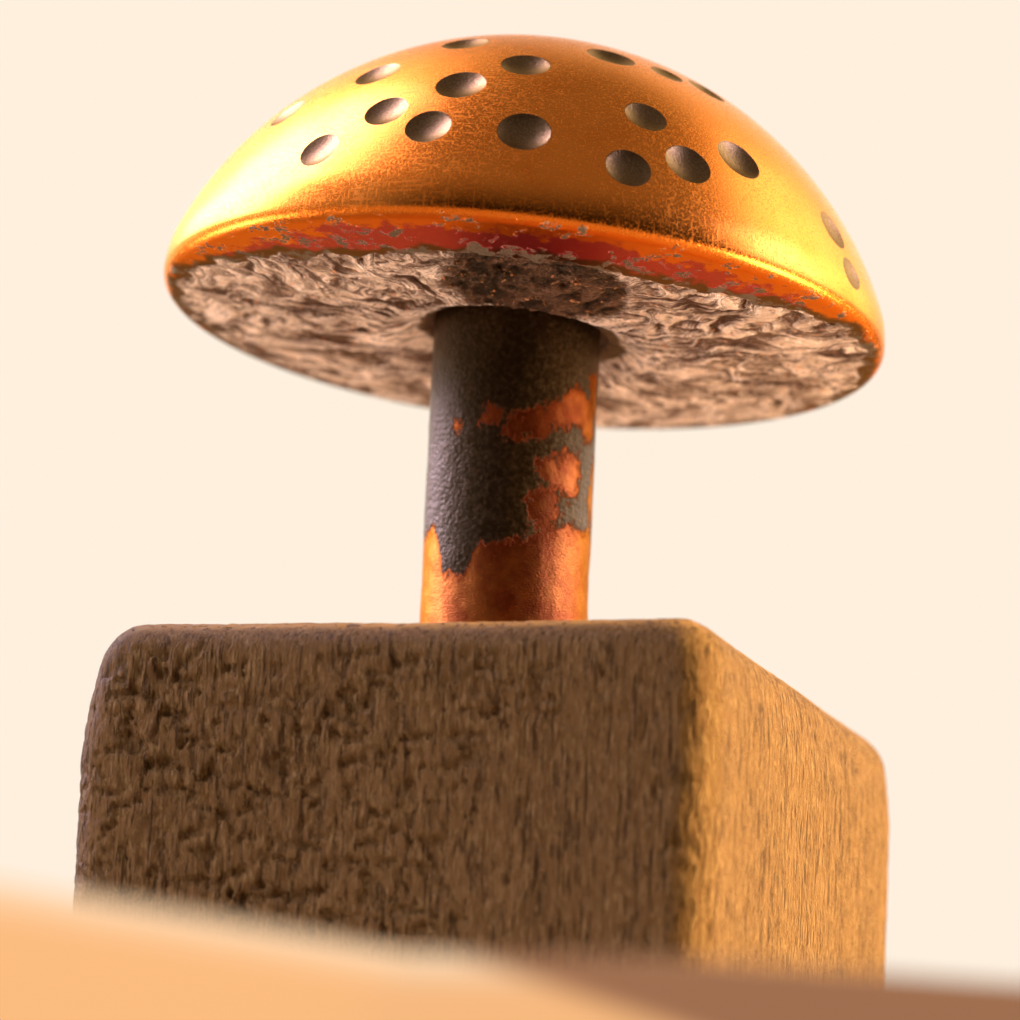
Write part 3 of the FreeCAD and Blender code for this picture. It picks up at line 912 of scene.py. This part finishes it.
def wood_material():
    g = Graph("hardwood")
    here = g.place()
    end = g.step(g.facing_up(), 0.55, 0.85)
    # long grain on the sides: soft bands, short fibres and long dark pores
    bands = g.noise(g.place((1, 1, 0.03)), 0.45, 4.0, 0.6, 0.3)
    fibre = g.noise(g.place((1, 1, 0.20)), 4.4, 5.0, 0.72, 0.2)
    slits = g.step(g.noise(g.place((1, 1, 0.15)), 2.7, 3.0, 0.62), 0.555, 0.64)
    crumb = g.noise(here, 2.6, 5.0, 0.68)
    streak = g.noise(g.place((1, 1, 0.04)), 2.6, 3.0, 0.6)
    pores = g.step(g.noise(g.place((1, 1, 0.045)), 3.6, 2.0, 0.5), 0.61, 0.68, 0.0, 0.70)
    base = g.mix(g.step(bands, 0.30, 0.72), (0.32, 0.176, 0.092), (0.40, 0.226, 0.118))
    base = g.mix(g.step(streak, 0.35, 0.70, 0.0, 0.5), base, (0.26, 0.145, 0.072))
    base = g.mix(g.step(fibre, 0.46, 0.66, 0.0, 0.8), base, (0.60, 0.39, 0.22))
    base = g.mix(g.times(slits, 0.62), base, (0.075, 0.040, 0.023))
    base = g.mix(pores, base, (0.07, 0.036, 0.018))
    # end grain on top: growth rings and round pores
    rings = g.node("TexWave", {
        "Vector": g.place((1, 1, 0.02)), "Scale": 0.12,
        "Distortion": 3.0, "Detail": 3.0, "Detail Scale": 0.4},
        output="Fac", wave_type="RINGS")
    end_pores = g.step(g.noise(here, 2.2, 2.0), 0.60, 0.68)
    end_base = g.mix(rings, (0.24, 0.135, 0.07), (0.36, 0.215, 0.115))
    end_base = g.mix(end_pores, end_base, (0.07, 0.038, 0.022))
    base = g.mix(end, base, end_base)
    torn = g.attribute("torn")
    # painted shade darkens the saw tears
    base = g.mix(g.step(torn, 0.10, 0.9, 0.0, 0.22), base, (0.085, 0.050, 0.030))
    side_height = g.plus(g.plus(g.times(fibre, 2.2), slits, -0.9), streak, 0.5)
    side_height = g.plus(side_height, crumb, g.step(torn, 0.02, 0.5, 0.4, 1.6))
    end_height = g.plus(rings, end_pores, -0.8)
    normal = g.bump(g.blend(end, side_height, end_height), 0.42)
    return g.finish(base, 0.0, 0.62, normal, Specular_IOR_Level=0.15)


def leather_material():
    g = Graph("pad_leather")
    here = g.place()
    tone = g.noise(here, 0.2, 4.0)
    base = g.mix(g.step(tone, 0.35, 0.65), (0.16, 0.075, 0.035), (0.30, 0.15, 0.07))
    return g.finish(base, 0.0, 0.55, g.bump(g.cells(here, 1.6), 0.15))


def cork_material():
    g = Graph("cork")
    here = g.place()
    grain = g.cells(here, 2.2)
    lenticel = g.step(g.noise(here, 1.1, 4.0, 0.7), 0.60, 0.66)
    base = g.mix(g.step(grain, 0.1, 0.7), (0.42, 0.24, 0.12), (0.66, 0.44, 0.25))
    base = g.mix(lenticel, base, (0.14, 0.07, 0.035))
    return g.finish(base, 0.0, 0.85, g.bump(g.plus(grain, lenticel, -1.0), 0.2))


def steel_material(name, base, roughness, turning):
    """Turned or ground steel with fine marks round its axis."""
    g = Graph(name)
    marks = g.noise(g.place(turning), 6.0, 3.0)
    stain = g.noise(g.place(), 0.5, 4.0)
    tint = g.mix(g.step(stain, 0.5, 0.75, 0.0, 0.5), base, tuple(0.6 * c for c in base))
    rough = g.step(marks, 0.3, 0.7, roughness, roughness + 0.12)
    return g.finish(tint, 1.0, rough, g.bump(marks, 0.01))


def floor_material():
    """Plain pale top; its sides glow with painted light, brighter cream on the left and dimmer brown on the
    right of a slanting line.
    """
    g = Graph("pale_floor")
    here = g.place()
    tone = g.mix(g.noise(here, 0.01, 3.0), (0.43, 0.43, 0.50), (0.48, 0.48, 0.56))
    # the sides get a near-black base so that only their painted glow shows
    side = g.step(g.facing_up(), 0.80, 0.99, 1.0, 0.0)
    tone = g.mix(side, tone, (0.03, 0.02, 0.01))
    # rays off the object see a duller table, so that it throws up less light
    bounced = g.larger(g.is_ray("Diffuse"), g.is_ray("Glossy"))
    tone = g.mix(bounced, tone, (0.32, 0.27, 0.22))
    # the sides' glow is painted light: brighter cream on the left of a slanting line, dimmer brown on its
    # right, palest near the top edge
    slant = g.node("VectorMath", {0: here, 1: (1.0, 0.0, 3.2)}, "Value", operation="DOT_PRODUCT")
    cream = g.step(slant, 39.0, 42.5, 1.0, 0.0)
    pale = g.step(g.height_of(here), -2.5, -0.2)
    painted_sunlit = g.mix(pale, (0.92, 0.48, 0.21), (0.96, 0.68, 0.44))
    painted_side_light = g.mix(cream, (0.34, 0.155, 0.080), painted_sunlit)
    return g.finish(tone, 0.0, 0.7, Emission_Color=painted_side_light, Emission_Strength=side, Specular_IOR_Level=0.0)


def dress(piece, material):
    piece.data.materials.clear()
    piece.data.materials.append(material)


# ---- stage, light and camera ----
def build_floor():
    """Table top whose near edge hides the block's foot from the low camera."""
    points, faces = closed_tube([raised(TABLE_OUTLINE, z) for z in (-TABLE_THICKNESS, 0.0)])
    table = mesh_object("floor", points, faces)
    table.data.shade_flat()
    bevel = table.modifiers.new("edge", "BEVEL")
    bevel.width = TABLE_BEVEL * MM
    bevel.segments = 4
    dress(table, floor_material())


class Sky(Graph):
    """World nodes that place bright cards by azimuth and elevation."""

    def __init__(self, world):
        super().__init__("studio", world)
        way = self.node("TexCoord", output="Generated")
        self.height = self.height_of(way)
        flat = self.node("VectorMath", {0: way, 1: (1, 1, 0)}, operation="MULTIPLY")
        self.level = self.node("VectorMath", {0: flat}, operation="NORMALIZE")

    def toward(self, azimuth, reach, core):
        """1 within core degrees of an azimuth, 0 beyond reach degrees from it."""
        way = (math.cos(math.radians(azimuth)), math.sin(math.radians(azimuth)), 0)
        facing = self.node("VectorMath", {0: self.level, 1: way}, "Value", operation="DOT_PRODUCT")
        return self.step(facing, math.cos(math.radians(reach)), math.cos(math.radians(core)))

    def rise(self, low, high, start=0.0, end=1.0):
        """start below one elevation in degrees, end above the other."""
        return self.step(self.height, math.sin(math.radians(low)), math.sin(math.radians(high)), start, end)

    def cards(self, cards):
        """The brightness of several cards together."""
        total = 0.0
        for strength, place, top, foot in cards:
            card = self.times(self.times(self.toward(*place), strength), self.rise(*top, 1.0, 0.0))
            if foot:
                card = self.times(card, self.rise(*foot))
            total = self.plus(total, card)
        return total

    def light(self, tint, strength):
        return self.node("Background", {"Color": tint, "Strength": strength})

    def choose(self, kind, a, b):
        """b for rays of a kind, a for the others."""
        return self.node("MixShader", {0: self.is_ray(kind), 1: a, 2: b})


def build_world():
    """What the metal mirrors, a softer light for the rest, and a plain pale backdrop."""
    world = bpy.data.worlds.new("studio")
    bpy.context.scene.world = world
    sky = Sky(world)
    mirrored = sky.light((1.0, 0.95, 0.88), sky.cards(SOFT_CARDS))
    for more in (
        sky.light((1.0, 0.85, 0.62), sky.rise(12, 70, 0.020, 0.27)),
        sky.light((0.96, 0.90, 1.45), sky.cards(WINDOW_CARDS)),
    ):
        mirrored = sky.node("AddShader", {0: mirrored, 1: more})
    fill = sky.light((1.0, 0.89, 0.78), 0.058)
    backdrop = sky.light((1.0, 0.871, 0.730), 1.0)
    seen = sky.choose("Camera", sky.choose("Glossy", fill, mirrored), backdrop)
    sky.node("OutputWorld", {"Surface": seen})


def build_lights(aim, cap):
    """Two windows, and two low lamps that only the cap is lit by and mirrors."""
    for name, (azimuth, elevation), distance, size, power, tint, cap_only in LAMPS:
        light = bpy.data.lights.new(name, "AREA")
        light.shape = "RECTANGLE"
        light.size, light.size_y = size
        light.energy = power
        light.color = tint
        lamp = bpy.data.objects.new(name, light)
        bpy.context.scene.collection.objects.link(lamp)
        a, e = math.radians(azimuth), math.radians(elevation)
        back = Vector((math.cos(a) * math.cos(e), math.sin(a) * math.cos(e), math.sin(e)))
        lamp.location = aim + back * distance
        lamp.rotation_mode = "QUATERNION"
        lamp.rotation_quaternion = back.to_track_quat("Z", "Y")
        lamp.visible_glossy = cap_only
        if cap_only:
            group = bpy.data.collections.new(name + "_lights")
            group.objects.link(cap)
            lamp.light_linking.receiver_collection = group
            lamp.light_linking.blocker_collection = group


def build_camera():
    yaw, rise, roll = CAMERA_AZIMUTH, CAMERA_LOOK_UP, CAMERA_ROLL
    forward = Vector((-math.sin(yaw) * math.cos(rise), math.cos(yaw) * math.cos(rise), math.sin(rise)))
    level = Vector((math.cos(yaw), math.sin(yaw), 0))
    upright = level.cross(forward)
    right = level * math.cos(roll) + upright * math.sin(roll)
    up = upright * math.cos(roll) - level * math.sin(roll)
    aim_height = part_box("block")[1].z + CAMERA_AIM_ABOVE_BLOCK
    aim = Vector((0, 0, aim_height)) + level * CAMERA_AIM_RIGHT
    data = bpy.data.cameras.new("camera")
    data.lens = CAMERA_LENS
    data.sensor_width = CAMERA_SENSOR
    data.clip_start = 0.01
    camera = bpy.data.objects.new("camera", data)
    bpy.context.scene.collection.objects.link(camera)
    turn = Matrix((right, up, -forward)).transposed().to_4x4()
    camera.matrix_world = Matrix.Translation(aim - forward * CAMERA_DISTANCE) @ turn
    focus = bpy.data.objects.new("focus", None)
    focus.location = Vector((*CAMERA_FOCUS, aim_height))
    bpy.context.scene.collection.objects.link(focus)
    data.dof.use_dof = True
    data.dof.focus_object = focus
    data.dof.aperture_fstop = CAMERA_F_STOP
    bpy.context.scene.camera = camera


# ---- assembly ----
def stand_for(piece, node, body, material):
    """Puts a built piece in the place of its CAD node."""
    dress(piece, material)
    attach(piece, body)
    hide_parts(node)


noise.seed_set(NOISE_SEED)
cap_piece = build_cap()
stand_for(cap_piece, "cap", "awl", copper_cap_material())
stand_for(build_stem(), "stem", "awl", stem_material())
stand_for(build_block(), "block", "stand", wood_material())
stand_for(build_pad(), "base_pad", "stand", leather_material())
stand_for(build_cork(), "tip_cork", "cork", cork_material())
dress(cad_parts["blade"], steel_material("blade_steel", (0.62, 0.60, 0.57), 0.18, (1, 1, 8)))
dress(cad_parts["blade_screw"], steel_material("screw_steel", (0.09, 0.09, 0.10), 0.35, (8, 1, 1)))

build_floor()
build_world()
build_lights(Vector((0, 0, (cad_bounds[0].z + cad_bounds[1].z) / 2)), cap_piece)
build_camera()
bpy.context.scene.view_settings.view_transform = "Standard"
